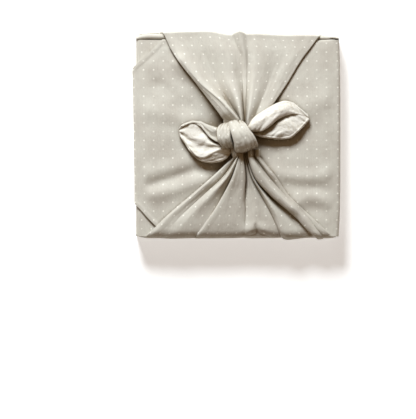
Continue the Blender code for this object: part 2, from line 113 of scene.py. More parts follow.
# Soft folds of the front panel, pulled towards the knot: the line each follows, its height and width
Crease = namedtuple("Crease", "line height width")
PANEL_CREASES = rows_of(
    Crease,
    (((-104, -44), (-80, -38), (-56, -28)), 1.3, 8),
    (((-102, -58), (-78, -50), (-48, -40)), -2.2, 6),
    (((-96, -70), (-70, -63), (-40, -52)), 2.6, 8),
    (((44, -43), (64, -47), (84, -49), (112, -45)), 2.0, 8),
    (((60, -58), (74, -61), (88, -60), (108, -64)), -1.4, 7),
    (((66, -84), (74, -77), (86, -73), (98, -74), (110, -80)), 1.7, 8),
    (((78, -90), (90, -85), (106, -88)), -1.0, 8),
    (((-104, 30), (-80, 25), (-52, 16)), 1.8, 10),
    (((56, 30), (80, 34), (108, 44)), 1.6, 12),
    (((-98, 84), (-86, 68), (-72, 46)), 1.2, 9),
    (((-92, 60), (-74, 50), (-58, 34)), -1.2, 8),
    (((-66, 86), (-41, 56), (-18, 26)), 4.4, 9),
)


def smoothstep(value):
    value = np.clip(value, 0.0, 1.0)
    return value * value * (3.0 - 2.0 * value)


def through(places, values, at):
    """A smooth curve through values at rising places, without overshoot, read at any places."""
    places = np.asarray(places, float)
    values = np.asarray(values, float)
    at = np.asarray(at, float)
    spans = np.diff(places)
    spans = spans.reshape((-1,) + (1,) * (values.ndim - 1))
    rates = np.diff(values, axis=0) / spans
    before, after = rates[:-1], rates[1:]
    agree = before * after > 0
    mean = 2.0 * before * after / np.where(agree, before + after, 1.0)
    slopes = np.concatenate([rates[:1], np.where(agree, mean, 0.0), rates[-1:]])
    i = np.clip(np.searchsorted(places, at) - 1, 0, len(places) - 2)
    span = places[i + 1] - places[i]
    t = (at - places[i]) / span
    if values.ndim > 1:
        span, t = span[..., None], t[..., None]
    return (
        (2 * t**3 - 3 * t**2 + 1) * values[i]
        + (t**3 - 2 * t**2 + t) * span * slopes[i]
        + (3 * t**2 - 2 * t**3) * values[i + 1]
        + (t**3 - t**2) * span * slopes[i + 1]
    )


def rumple(x, y, size, seed):
    """Smooth random heights from -1 to 1, in lumps about size across."""
    cells = 64
    heights = np.random.default_rng(seed).uniform(-1.0, 1.0, (cells, cells))
    u, v = np.asarray(x) / size + cells / 2, np.asarray(y) / size + cells / 2
    i, j = np.floor(u).astype(int), np.floor(v).astype(int)
    s, t = smoothstep(u - i), smoothstep(v - j)
    i, j = i % cells, j % cells
    k, m = (i + 1) % cells, (j + 1) % cells
    low = heights[i, j] * (1 - s) + heights[k, j] * s
    high = heights[i, m] * (1 - s) + heights[k, m] * s
    return low * (1 - t) + high * t


def panel_border(x, y):
    """1 on the front panel, fading to 0 at its edges."""
    return smoothstep((FRONT_EDGE - abs(y)) / FOLD_FADE) * smoothstep((FOLD_SIDE - abs(x)) / FOLD_FADE)


def panel_folds(x, y):
    """How far the front panel's soft folds raise it."""
    total = np.zeros(np.broadcast(x, y).shape)
    for crease in PANEL_CREASES:
        nearest = np.full(total.shape, 1e6)
        for (x0, y0), (x1, y1) in zip(crease.line, crease.line[1:]):
            run_x, run_y = x1 - x0, y1 - y0
            along = ((x - x0) * run_x + (y - y0) * run_y) / (run_x**2 + run_y**2)
            along = np.clip(along, 0.0, 1.0)
            nearest = np.minimum(nearest, np.hypot(x - x0 - along * run_x, y - y0 - along * run_y))
        total += crease.height * np.exp(-((nearest / crease.width) ** 2))
    return (PANEL_PUFF + total) * panel_border(x, y)


def end_outer(end, x):
    """The y of an end wall's outer face at x, with its softened corners."""
    share = (x - LEFT_INNER) / (RIGHT_SIDE - LEFT_INNER)
    out = end.left + (end.right - end.left) * share
    corner = np.minimum(abs(2.0 * share - 1.0) ** CORNER_POWER, 1.0)
    return end.sign * (out - END_CORNER * corner)


def rounded_path(corners, spacing, arc_steps=6):
    """Points along a 2D path whose corners are (a, b, radius), with straight runs cut at spacing."""
    places = [np.array(corner[:2], float) for corner in corners]
    points = [places[0]]
    for i in range(1, len(places)):
        here, radius = places[i], corners[i][2]
        into = (here - places[i - 1]) / np.linalg.norm(here - places[i - 1])
        start = here - into * radius
        last = points[-1]
        steps = max(1, round(np.linalg.norm(start - last) / spacing))
        points += [last + (start - last) * k / steps for k in range(1, steps + 1)]
        if radius == 0:
            continue
        out = (places[i + 1] - here) / np.linalg.norm(places[i + 1] - here)
        centre = start + out * radius
        for k in range(1, arc_steps + 1):
            angle = math.pi / 2 * k / arc_steps
            points.append(centre - out * radius * math.cos(angle) + into * radius * math.sin(angle))
    return np.array(points)


def lengths_along(points):
    return np.concatenate([[0.0], np.cumsum(np.linalg.norm(np.diff(points, axis=0), axis=1))])


def arc_lengths(grid, axis):
    """The distance along each row or column of a grid of points."""
    steps = np.linalg.norm(np.diff(grid, axis=axis), axis=2)
    pad = [(0, 0), (0, 0)]
    pad[axis] = (1, 0)
    return np.cumsum(np.pad(steps, pad), axis=axis)


# Meshes


def grid_normals(grid):
    normals = np.cross(np.gradient(grid, axis=1), np.gradient(grid, axis=0))
    return normals / np.maximum(np.linalg.norm(normals, axis=2, keepdims=True), 1e-9)


def grid_faces(index):
    """The corners of each cell of a grid of point numbers."""
    corners = (index[:-1, :-1], index[:-1, 1:], index[1:, 1:], index[1:, :-1])
    return np.stack(corners, axis=-1).reshape(-1, 4)


laid = []


def lay_cloth(name, grid, uv, slots, flat, thickness=SHEET):
    """A closed thin sheet round a grid of points. Its first material is on the side of grid_normals,
    and its second on the other side."""
    half = np.broadcast_to(np.asarray(thickness, float) / 2, grid.shape[:2])[..., None]
    normals = grid_normals(grid)
    above = (grid + normals * half).reshape(-1, 3)
    below = (grid - normals * half).reshape(-1, 3)
    count = len(above)
    index = np.arange(count).reshape(grid.shape[:2])
    top = grid_faces(index)
    bottom = grid_faces(index + count)[:, ::-1]
    border = np.concatenate([index[0], index[1:, -1], index[-1, -2::-1], index[-2:0:-1, 0]])
    after = np.roll(border, -1)
    rim = np.stack([after, border, border + count, after + count], axis=1)
    faces = np.concatenate([top, bottom, rim])

    mesh = bpy.data.meshes.new(name)
    points = np.concatenate([above, below]) * MM
    mesh.from_pydata(points.tolist(), [], faces.tolist())
    flat_uv = np.tile(uv.reshape(-1, 2), (2, 1)) * MM
    layer = mesh.uv_layers.new(name="Cloth")
    layer.uv.foreach_set("vector", flat_uv[faces.ravel()].astype(np.float32).ravel())
    for slot_material in slots:
        mesh.materials.append(slot_material)
    chosen = np.repeat([0, 1, 0], [len(top), len(bottom), len(rim)])
    mesh.polygons.foreach_set("material_index", chosen.astype(np.int32))
    mesh.polygons.foreach_set("use_smooth", np.ones(len(faces), bool))
    mesh.update()
    obj = bpy.data.objects.new(name, mesh)
    bpy.context.scene.collection.objects.link(obj)
    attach(obj, "root")
    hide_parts("wrap_cloth")
    laid.append((mesh, grid))


# How shaded each place of the folded cloth is by what stands round it, on a map seen from above. This
# shade is painted into the cloth's colour.
MAP_HALF = 130
SHADE_REACHES = (1, 2, 3, 4, 6, 8, 11, 15)
SHADE_WAYS = 16
# Cloth this far under the highest cloth gets a fixed painted shade on the front, and none elsewhere. The
# front is a little smaller than the parcel. Cloth on the walls, well under the outer layer, has no
# painted shade.
UNDER = 1.5
UNDER_SHADE = 0.6
FRONT_REACH = (108.0, 104.0)
FRONT_DEPTH = 1.0
WALL_DEPTH = 3.0
# The longest step between points on the map, and the most parts a sheet's own step is cut into
MAP_STEP = 0.5
MOST_PARTS = 16


def refined(grid, axis):
    """The grid with more points along one axis, in straight steps of about half a millimetre."""
    grid = np.moveaxis(grid, axis, 0)
    longest = np.linalg.norm(np.diff(grid, axis=0), axis=2).max()
    parts = min(math.ceil(longest / MAP_STEP), MOST_PARTS)
    steps = [grid[:-1] + (grid[1:] - grid[:-1]) * k / parts for k in range(parts)]
    return np.moveaxis(np.concatenate(steps + [grid[-1:]]), 0, axis)


def height_map():
    """The highest cloth over each square millimetre."""
    heights = np.zeros((2 * MAP_HALF + 1, 2 * MAP_HALF + 1))
    for _, grid in laid:
        points = refined(refined(grid, 0), 1).reshape(-1, 3)
        cell = np.clip(np.rint(points[:, :2]).astype(int) + MAP_HALF, 0, 2 * MAP_HALF)
        np.maximum.at(heights, (cell[:, 0], cell[:, 1]), points[:, 2])
    return heights


def shade_map(heights):
    """The share of the sky that the cloth round each place hides, 0 to 1."""
    total = np.zeros(heights.shape)
    pad = max(SHADE_REACHES) + 1
    padded = np.pad(heights, pad)
    for turn_angle in np.arange(SHADE_WAYS) * 2.0 * math.pi / SHADE_WAYS:
        steepest = np.zeros(heights.shape)
        for reach in SHADE_REACHES:
            i = pad + round(reach * math.cos(turn_angle))
            j = pad + round(reach * math.sin(turn_angle))
            there = padded[i : i + heights.shape[0], j : j + heights.shape[1]]
            steepest = np.maximum(steepest, (there - heights) / reach)
        total += steepest**2 / (1.0 + steepest**2)
    return total / SHADE_WAYS


def sample(field, x, y):
    """A map's values at any places, in straight steps between its cells."""
    u = np.clip(x + MAP_HALF, 0, 2 * MAP_HALF - 0.001)
    v = np.clip(y + MAP_HALF, 0, 2 * MAP_HALF - 0.001)
    i, j = u.astype(int), v.astype(int)
    s, t = u - i, v - j
    low = field[i, j] * (1 - s) + field[i + 1, j] * s
    high = field[i, j + 1] * (1 - s) + field[i + 1, j + 1] * s
    return low * (1 - t) + high * t


def shade_folds():
    """Give each piece of cloth its painted shade in the folds and under other cloth, which its material
    darkens its colour by.
    """
    heights = height_map()
    shade = shade_map(heights)
    for mesh, grid in laid:
        x, y, z = grid.reshape(-1, 3).T
        value = sample(shade, x, y)
        front = (abs(x) < FRONT_REACH[0]) & (abs(y) < FRONT_REACH[1]) & (z > OUTER_FRONT - FRONT_DEPTH)
        below = z < sample(heights, x, y) - UNDER
        value = np.where(below & front, UNDER_SHADE, value)
        value = np.where((below | (z < OUTER_FRONT - WALL_DEPTH)) & ~front, 0.0, value)
        # The painted shade is stored on the points, and the material darkens the colour by it.
        layer = mesh.attributes.new("painted_fold_shade", "FLOAT", "POINT")
        layer.data.foreach_set("value", np.tile(value, 2).astype(np.float32))


# Materials


def srgb(*channels):
    """A colour given as it looks on a screen, in linear light: red, green and blue from 11 to 255."""
    return (*(((channel / 255 + 0.055) / 1.055) ** 2.4 for channel in channels), 1.0)


class Nodes:
    """A material's node tree, with short calls for the nodes that the cloth needs."""

    def __init__(self, name):
        self.material = bpy.data.materials.new(name)
        self.material.use_nodes = True
        self.tree = self.material.node_tree
        self.shader = self.tree.nodes["Principled BSDF"]

    def add(self, kind, inputs=(), **settings):
        node = self.tree.nodes.new(kind)
        for key, value in settings.items():
            setattr(node, key, value)
        for key, value in dict(inputs).items():
            if isinstance(value, bpy.types.NodeSocket):
                self.tree.links.new(value, node.inputs[key])
            else:
                node.inputs[key].default_value = value
        return node

    def math(self, operation, first, second=0.0):
        return self.add("ShaderNodeMath", {0: first, 1: second}, operation=operation).outputs[0]

    def times(self, first, second):
        return self.math("MULTIPLY", first, second)

    def plus(self, first, second):
        return self.math("ADD", first, second)

    def vector(self, operation, first, second=(0.0, 0.0, 0.0)):
        node = self.add("ShaderNodeVectorMath", {0: first, 1: second}, operation=operation)
        return node.outputs["Value" if operation in ("LENGTH", "DISTANCE") else "Vector"]

    def blend(self, share, first, second):
        node = self.add("ShaderNodeMix", {0: share, 6: first, 7: second}, data_type="RGBA")
        return node.outputs[2]

    def ramp(self, value, low, high, low_out=0.0, high_out=1.0):
        inputs = enumerate((value, low, high, low_out, high_out))
        node = self.add("ShaderNodeMapRange", inputs, interpolation_type="SMOOTHSTEP")
        return node.outputs["Result"]

    def noise(self, place, size, detail=2.0, roughness=0.5):
        inputs = {"Vector": place, "Scale": 1.0 / (size * MM), "Detail": detail, "Roughness": roughness}
        return self.add("ShaderNodeTexNoise", inputs).outputs["Fac"]

    def surface(self, name, value):
        """Set one of the shader's own sockets, or link a node to it."""
        if isinstance(value, bpy.types.NodeSocket):
            self.tree.links.new(value, self.shader.inputs[name])
        else:
            self.shader.inputs[name].default_value = value


def weave(nodes, place):
    """The height of a plain weave: warp and weft threads that pass over each other in turn."""
    split = nodes.add("ShaderNodeSeparateXYZ", {0: place})
    turns = 2 * math.pi / (THREAD_PITCH * MM)
    warp = nodes.math("SINE", nodes.times(split.outputs[0], turns))
    weft = nodes.math("SINE", nodes.times(split.outputs[1], turns))
    return nodes.times(warp, weft)


# Painted shade in the folds: from and to which share of hidden sky the cloth's colour darkens, how much,
# and to what tint
FOLD_SHADE = (0.08, 0.85, 0.0, 1.0)
PAINTED_SHADE_TINT = (0.34, 0.26, 0.16)
# Slubs are thick places in the threads. Heights are shares of the bump's, which is a millimetre.
SLUB_SIZE = 1.6
SLUB_STRETCH = (1.0, 0.12, 1.0)
SLUB_HEIGHT = 0.1
SLUB_SHADE = (0.2, 0.9, 0.94, 1.03)
THREAD_SHADE = 0.18
THREAD_HEIGHT = 0.05
CRINKLE_SIZE = 5.0
CRINKLE_STRETCH = (1.0, 0.6, 1.0)
CLOTH_BUMP = 0.7
ROUGH_SPREAD = 0.06


def finish_cloth(nodes, place, colour, roughness, crinkle_height):
    """Weave, slubs, crinkles and soft fuzz on a cloth of this colour, with painted shade darkening it in
    its folds and under other cloth.
    """
    threads = weave(nodes, place)
    slubs = nodes.noise(nodes.vector("MULTIPLY", place, SLUB_STRETCH), SLUB_SIZE, detail=3.0)
    uneven = nodes.plus(nodes.times(threads, THREAD_SHADE), slubs)
    shade = nodes.ramp(uneven, *SLUB_SHADE)
    # Painted shade: the colour darkens towards a brown tint where the cloth's sky is hidden by the cloth
    # round it.
    hidden = nodes.add("ShaderNodeAttribute", attribute_name="painted_fold_shade").outputs["Fac"]
    fold = nodes.ramp(hidden, *FOLD_SHADE)
    colour = nodes.blend(fold, colour, nodes.vector("MULTIPLY", colour, PAINTED_SHADE_TINT))
    shaded = nodes.vector("SCALE", colour)
    nodes.tree.links.new(shade, shaded.node.inputs["Scale"])
    nodes.surface("Base Color", shaded)
    stretched = nodes.vector("MULTIPLY", place, CRINKLE_STRETCH)
    crinkles = nodes.noise(stretched, CRINKLE_SIZE, detail=3.0, roughness=0.6)
    thread_height = nodes.times(threads, THREAD_HEIGHT)
    height = nodes.plus(thread_height, nodes.times(slubs, SLUB_HEIGHT))
    height = nodes.plus(height, nodes.times(crinkles, crinkle_height))
    bump = nodes.add("ShaderNodeBump", {"Height": height, "Distance": MM, "Strength": CLOTH_BUMP})
    nodes.surface("Normal", bump.outputs["Normal"])
    rough = nodes.ramp(slubs, 0.2, 0.8, roughness - ROUGH_SPREAD, roughness + ROUGH_SPREAD)
    nodes.surface("Roughness", rough)
    nodes.surface("Sheen Weight", 0.18)
    nodes.surface("Sheen Roughness", 0.55)
    nodes.surface("Sheen Tint", srgb(250, 246, 238))
    nodes.surface("Specular IOR Level", 0.25)
    return nodes.material


# The dots' raggedness and soft rim, and how much of their print is left
DOT_RAGGED = 0.5
DOT_RIM = (0.4, -0.5)
DOT_WORN = (0.45, 0.95)
GROUND = (srgb(201, 195, 183), srgb(212, 208, 196))
DOT_COLOUR = srgb(250, 247, 236)
# The reverse's ground and print, and its leaves' size, shape, waver and strength
REVERSE = (srgb(238, 234, 224), srgb(208, 198, 177))
LEAF_SIZE = 9.0
LEAF_STRETCH = (1.0, 0.55, 1.0)
LEAF_WAVER = 6
LEAF_PRINT = 0.55
CARD = (srgb(222, 211, 190), srgb(236, 228, 210))


def dotted_face():
    """The outside: warm grey cotton printed with small cream dots in rows."""
    nodes = Nodes("taupe cotton with pin dots")
    place = nodes.add("ShaderNodeUVMap", uv_map="Cloth").outputs["UV"]
    pitch = (DOT_PITCH[0] * MM, DOT_PITCH[1] * MM, 1.0)
    cell = nodes.vector("FRACTION", nodes.vector("DIVIDE", place, pitch))
    centred = nodes.vector("MULTIPLY", nodes.vector("SUBTRACT", cell, (0.5, 0.5, 0.0)), pitch)
    away = nodes.vector("LENGTH", centred)
    ragged = nodes.times(nodes.noise(place, 0.8), DOT_RAGGED * MM)
    edge = nodes.math("SUBTRACT", nodes.plus(away, ragged), DOT_RAGGED / 2 * MM)
    inked = nodes.ramp(edge, (DOT_RADIUS + DOT_RIM[0]) * MM, (DOT_RADIUS + DOT_RIM[1]) * MM)
    mottle = nodes.ramp(nodes.noise(place, 30.0, detail=3.0), 0.3, 0.7)
    ground = nodes.blend(mottle, *GROUND)
    worn = nodes.ramp(nodes.noise(place, 9.0), 0.3, 0.65, *DOT_WORN)
    colour = nodes.blend(nodes.times(inked, worn), ground, DOT_COLOUR)
    return finish_cloth(nodes, place, colour, 0.88, 0.9)


def cream_face():
    """The reverse: cream cotton with a faint mottled leaf print."""
    nodes = Nodes("cream cotton reverse")
    place = nodes.add("ShaderNodeUVMap", uv_map="Cloth").outputs["UV"]
    bent = nodes.noise(place, 12.0, detail=1.0)
    aside = nodes.times(bent, LEAF_WAVER * MM)
    wavy = nodes.vector("ADD", place, nodes.add("ShaderNodeCombineXYZ", {0: aside}).outputs[0])
    stretched = nodes.vector("MULTIPLY", wavy, LEAF_STRETCH)
    inputs = {"Vector": stretched, "Scale": 1 / (LEAF_SIZE * MM)}
    leaves = nodes.add("ShaderNodeTexVoronoi", inputs, feature="SMOOTH_F1").outputs["Distance"]
    veins = nodes.ramp(nodes.noise(place, 3.0, detail=3.0), 0.35, 0.7)
    leaf_share = nodes.ramp(leaves, 0.35, 0.6)
    print_share = nodes.times(leaf_share, nodes.times(veins, LEAF_PRINT))
    colour = nodes.blend(print_share, *REVERSE)
    return finish_cloth(nodes, place, colour, 0.86, 1.3)


def card_finish():
    """Uncoated card, with fine fibres."""
    nodes = Nodes("uncoated card")
    place = nodes.add("ShaderNodeTexCoord").outputs["Object"]
    fibres = nodes.noise(place, 1.2, detail=4.0, roughness=0.65)
    patches = nodes.noise(place, 25.0)
    mixed = nodes.plus(nodes.times(fibres, 0.6), nodes.times(patches, 0.4))
    nodes.surface("Base Color", nodes.blend(nodes.ramp(mixed, 0.3, 0.7), *CARD))
    bump = nodes.add("ShaderNodeBump", {"Height": fibres, "Distance": 0.05 * MM, "Strength": 0.5})
    nodes.surface("Normal", bump.outputs["Normal"])
    nodes.surface("Roughness", nodes.ramp(fibres, 0.3, 0.7, 0.78, 0.9))
    return nodes.material


TAUPE = dotted_face()
CREAM = cream_face()


# The two corners that cross over the front

# Columns across the turned-down lip: how far in from the edge, and how far down
LIP = ((0.0, 5.6), (0.0, 4.0), (0.1, 2.5), (0.35, 1.4), (0.8, 0.7), (1.5, 0.2), (2.6, 0.0))
# How far the cloth stays in from the end walls, at the back and above it
BACK_INSET = 4.0
WALL_INSET = 0.5
# The 45 degree hem shows where less cloth than this is left, and rises steeply
HEM_FROM = 140.0
HEM_EASE = 0.9
HEM_STEEP = 3.0
# The front panel's unevenness, as height and size: broad lumps, which lean, and ripples
PANEL_LUMPS = (0.45, 34.0)
PANEL_RIPPLES = (0.22, 13.0)
LUMP_LEAN = 0.4


def band_columns(count):
    """A panel's columns from the bottom edge to the top edge: share of the way, inset and drop."""
    side = [(1.0, inset, drop) for inset, drop in LIP]
    middle = [(share, LIP[-1][0], 0.0) for share in np.linspace(1.0, -1.0, count + 2)[1:-1]]
    mirrored = [(-share, inset, drop) for share, inset, drop in side[::-1]]
    return [(-share, inset, drop) for share, inset, drop in side + middle + mirrored]


def crossing_corner(name, corners, spacing, count, on_top, flat):
    """One corner of the cloth: across half the back, up a side, over the front, to its 45 degree hem."""
    path = rounded_path(corners, spacing)
    travelled = lengths_along(path)
    half_diagonal = CLOTH_SIDE / math.sqrt(2.0) - TAKE_UP
    columns = band_columns(count)
    grid = np.zeros((len(path), len(columns), 3))
    uv = np.zeros((len(path), len(columns), 2))
    rise = np.zeros((len(path), len(columns)))
    for i, (x, z) in enumerate(path):
        on_front = float(smoothstep((z - (INNER_FRONT - BEND)) / BEND))
        hem = half_diagonal - travelled[i]
        for j, (share, inset, drop) in enumerate(columns):
            end = TOP_END if share > 0 else BOTTOM_END
            wall = abs(end_outer(end, x)) - (BACK_INSET if z < CROSS_BACK + 1.0 else WALL_INSET)
            edge = FRONT_EDGE if share > 0 else LOW_FRONT_EDGE
            limit = wall + (edge - CLOTH / 2 - wall) * on_front
            turned = smoothstep((LIP_END - abs(x)) / LIP_FADE) * smoothstep((hem - limit) / LIP_FADE)
            down = drop * turned * on_front if on_top else 0.0
            y = share * (min(limit, hem) - inset)
            bulge = 0.0
            if on_top and x > 0:
                bulge = RIGHT_BULGE * (1.0 - (y / BULGE_HALF) ** 4)
                bulge *= smoothstep((x - BULGE_START) / FOLD_FADE)
            elif on_top:
                bulge = -LEFT_SKEW * y * smoothstep((-x - SKEW_START) / SKEW_FADE)
            grid[i, j] = (x + bulge, y, z - down)
            uv[i, j] = (travelled[i], y)
            if hem < HEM_FROM:
                near = smoothstep(1.0 - (hem - abs(y)) / HEM_WIDTH * HEM_EASE)
                rise[i, j] = min(near * HEM_STEEP, 1.0)
            grid[i, j, 2] += on_front * HEM_RISE / 2 * rise[i, j]
    if on_top:
        x, y = grid[..., 0], grid[..., 1]
        front = smoothstep((grid[..., 2] - (OUTER_FRONT - 6.0)) / 4.0)
        lumps = rumple(x + LUMP_LEAN * y, y - LUMP_LEAN * x, PANEL_LUMPS[1], 11)
        soft = PANEL_LUMPS[0] * lumps + PANEL_RIPPLES[0] * rumple(x, y, PANEL_RIPPLES[1], 12)
        grid[..., 2] += front * (panel_folds(x, y) + panel_border(x, y) * soft)
    thickness = SHEET + HEM_RISE * rise
    if not on_top:
        grid, uv, thickness = grid[:, ::-1], uv[:, ::-1], thickness[:, ::-1]
    lay_cloth(name, grid, uv, (TAUPE, CREAM), flat, thickness)


# The ways of the two corners round the box, as x, height and the radius of the bend
RIGHT_WAY = (
    (0.0, CROSS_BACK, 0),
    (RIGHT_SIDE, CROSS_BACK, BEND),
    (RIGHT_SIDE, OUTER_FRONT, BEND),
    (LEFT_OUTER, OUTER_FRONT, BEND),
    (LEFT_OUTER, TIP_END, 0),
)
LEFT_WAY = (
    (0.0, CROSS_BACK, 0),
    (LEFT_INNER, CROSS_BACK, BEND),
    (LEFT_INNER, INNER_FRONT, BEND),
    (INNER_END, INNER_FRONT, 0),
)


# The back and the end walls

# The x of their first and last stations, and of the even ones between
WALL_ENDS = (LEFT_INNER - 0.4, RIGHT_SIDE + 0.5)
WALL_STATIONS = np.linspace(-117.0, 118.6, 118)
FOOT_BEND = 3.0
WALL_STEP = 3.0
# The rims' bends stay this much under half their depth
BEND_SLACK = 0.01
# The top rim is drawn in at its left end and thinner at its right: how much, from where, how gradually
RIM_IN = (2.6, 106.0, 12.0)
RIM_THIN = (1.4, 106.0, 8.0)
LEAST_RIM = 1.3


def end_walls():
    """The back, and the end walls that stand up from it to folded rims."""
    stations = np.concatenate([WALL_ENDS[:1], WALL_STATIONS, WALL_ENDS[1:]])
    grid = []
    for x in stations:
        share = (x - LEFT_INNER) / (RIGHT_SIDE - LEFT_INNER)
        corner_in = RIM_IN[0] * smoothstep((-x - RIM_IN[1]) / RIM_IN[2])
        thinner = RIM_THIN[0] * smoothstep((x - RIM_THIN[1]) / RIM_THIN[2])
        top = end_outer(TOP_END, x) - CLOTH / 2
        bottom = end_outer(BOTTOM_END, x) + CLOTH / 2
        top_fold = TOP_END.rim_left + (TOP_END.rim_right - TOP_END.rim_left) * share
        top_fold = max(top_fold - corner_in - thinner, LEAST_RIM)
        low_fold = BOTTOM_END.rim_left + (BOTTOM_END.rim_right - BOTTOM_END.rim_left) * share
        top_bend, low_bend = top_fold / 2 - BEND_SLACK, low_fold / 2 - BEND_SLACK
        corners = (
            (top - top_fold - corner_in, RIM_TOP - RIM_RETURN, 0),
            (top - top_fold - corner_in, RIM_TOP, top_bend),
            (top - corner_in, RIM_TOP, top_bend),
            (top, LONG_BACK, FOOT_BEND),
            (bottom, LONG_BACK, FOOT_BEND),
            (bottom, LOW_RIM_TOP, low_bend),
            (bottom + low_fold, LOW_RIM_TOP, low_bend),
            (bottom + low_fold, LOW_RIM_TOP - RIM_RETURN, 0),
        )
        path = rounded_path(corners, spacing=math.inf, arc_steps=5)
        grid.append([(x, y, z) for y, z in path])
    grid = np.array(grid)
    middle = grid[len(grid) // 2]
    fine = [grid[:, 0]]
    for j in range(1, grid.shape[1]):
        steps = max(1, round(np.linalg.norm(middle[j] - middle[j - 1]) / WALL_STEP))
        fine += [grid[:, j - 1] + (grid[:, j] - grid[:, j - 1]) * k / steps for k in range(1, steps + 1)]
    grid = np.array(fine).transpose(1, 0, 2)
    uv = np.stack([grid[..., 0], arc_lengths(grid, 1)], axis=2)
    lay_cloth("cloth_back", grid, uv, (CREAM, TAUPE), (0.24, 0.34))


# The flaps

# Ridges and valleys across a flap, from left to right: where each runs on five lines from the rim to
# the throat, and its heights. Three more columns shape the slope on its right: over leans it
# sideways, facet flattens it, and round makes it a roll that stands steeply on its valley.
Feature = namedtuple(
    "Feature",
    "x_edge x_far x_half x_near x_throat h_edge h_mid h_near h_throat over facet round",
    defaults=(0, 0, 0),
)
TOP_FLAP = rows_of(
    Feature,
    (-86.6, -71.6, -48.1, -29.5, -15, 1.8, 4.6, 4.4, 1.6, 0, 1),
    (-85, -70.4, -46.4, -22.5, -7.5, 2.2, 5.8, 9.4, 1.2, 0, 1),
    (-81.5, -67.8, -43.4, -15.4, 1.2, 2.4, 8.4, 16, 10, 1, 0, 0.3),
    (-55, -37, -21.6, -8, 3.8, 3.8, 1, 0.1, 0.3),
    (-35, -13, -5.5, 2.8, 5.6, 4.6, 7.4, 12, 9, 0.8),
    (-7, 5, 7, 7.8, 8.6, 0.1, 0.6, 0.1, 0.2),
    (3, 9.2, 9.6, 9.4, 9.8, 5.4, 1.8, 1, 1.6),
    (12.5, 14, 12.8, 11.2, 10.8, 1.6, 1.2, 0.2, 0.4, 0, 0, 0.2),
    (24, 25, 20.5, 17, 13.5, 1.8, 6, 9, 7.5, 0, 0.5),
    (60, 50, 38, 28, 19, 0.6, 0.9, 2, 2),
    (84, 65, 49, 37, 25, 1.2, 2.2, 2.8, 2.6, 0, 0, 0.6),
    (98, 77.6, 59.3, 43.2, 30, 0.7, 1.2, 1.4, 1),
)
BOTTOM_FLAP = rows_of(
    Feature,
    (-108, -77.2, -54, -28.3, -3, 1.2, 1.4, 2, 1.4),
    (-104, -73.6, -50.1, -25.3, -1.6, 2.4, 3.2, 4.6, 3.2, 0, 0, 0.5),
    (-90, -61.8, -40.6, -16.6, 0.2, 2.2, 0.4, 0.1, 0.3),
    (-77, -49.5, -30.6, -10.6, 1.4, 3.2, 6.5, 8.8, 6.5, 0.5, 0.4, 0.2),
    (-49, -27.7, -15.9, -4.7, 3.2, 1.4, 0.1, 0.1, 0.3, -1.4, 0, 1),
    (-42, -23.6, -12.6, -2.4, 4.4, 2.8, 7, 10, 8, 0, 1),
    (-8, 2, 5, 7.6, 6.6, 1.6, 6, 9.2, 7.4, 1.4, 0, 1),
    (8.5, 10.2, 9.4, 10.4, 7.8, 0.9, 0.1, 0.1, 0.2),
    (20.6, 21.8, 18.3, 13.6, 8.8, 4.2, 4.4, 4.6, 3.6, 0, 0, 0.3),
    (39, 28.6, 22.6, 14.6, 9.6, 2.4, 5, 5, 3.2, 0, 0.3),
    (54, 40.4, 29.6, 17.6, 10.8, 0.1, 0.1, 0.1, 0.3, 0, 0, 0.8),
    (60.5, 45.5, 33, 19, 11.8, 6, 7, 6.4, 4.2, 0, 0.3),
    (80, 56.5, 37.8, 20.2, 12.3, 1, 0.5, 0.3, 0.4, 0, 1),
    (95, 63.6, 40.5, 21.3, 12.8, 0.1, 0.1, 0.1, 0.3, -3.4, 0, 1),
    (98.5, 71.5, 49.6, 30, 16, 5, 12, 13, 8.4, 0.5, 0.4, 0.3),
    (103, 79.3, 58.2, 37.9, 20.8, 1.6, 3.2, 1.4, 1.4),
    (108, 80.9, 59.8, 42.6, 24, 1.8, 3, 7, 5.6, 0, 0, 0.5),
    (114, 82.5, 61.6, 46.2, 27.4, 0.6, 0.8, 2, 1.4),
)
# The y of the five lines and of the throat
FLAP_LINES = {1: (118.0, 92.0, 62.0, 38.0, 19.0), -1: (-119.0, -90.7, -70.7, -48.3, -24.7)}
FLAP_THROAT = {1: 8.0, -1: -16.0}
# The bend over the rim is an oval: how far in along the front it starts, and how far down it ends
FLAP_BEND = {1: (1.8, 3.0), -1: (10.5, 8.0)}
# Rows over the front, round the bend and up the wall, from its foot
FLAP_ROWS = 96
ARC_ROWS = 10
WALL_ROWS = 12
WALL_FOOT = 2.5
FEATURE_STEPS = 9
# Where a feature's four heights lie between rim and throat, and the least height of a flap
HEIGHT_REACHES = (0.0, 0.45, 0.8, 1.0)
LEAST_HEIGHT = 0.05
# A slope leans fully from this rise on, and only as far as its width allows
LEAN_RISE = 6.0
LEAN_DIVISOR = 3.0
ROUND_EASE = 0.7
# Fine ripples: their heights, their lumps across and from rim to throat, their growth on that way,
# and how narrow the smooth borders are
RIPPLES = ((0.6, 34.0, 3.0), (0.35, 80.0, 5.0))
RIPPLE_GROWTH = (0.4, 0.8)
RIPPLE_BORDER = 12.0
# The lift of a flap towards the knot: how much, round which x and y, and over which distance
FLAP_LIFT = {1: 9.0, -1: 5.5}
LIFT_CENTRE = 6.0
LIFT_START = 14.0
LIFT_REACH = 60.0
# At the foot of the wall a flap is wider on each side, clear of the corners, and flatter. It lies a
# little inside the wall's face. The dots are placed from the column at PRINT_MIDDLE.
FOOT_INSET = 31.0
FOOT_MARGIN = 2.0
FOOT_FLATTENED = 0.8
WALL_IN = 0.6
PRINT_MIDDLE = 8.0
# The least width of a slope, and the edge that is turned under: its width, at most this share of the
# flap's, and the radius of its fold
LEAST_PLEAT = 0.8
TURNED_UNDER = 9.0
UNDER_SHARE = 0.3
FOLD_RADIUS = 0.75

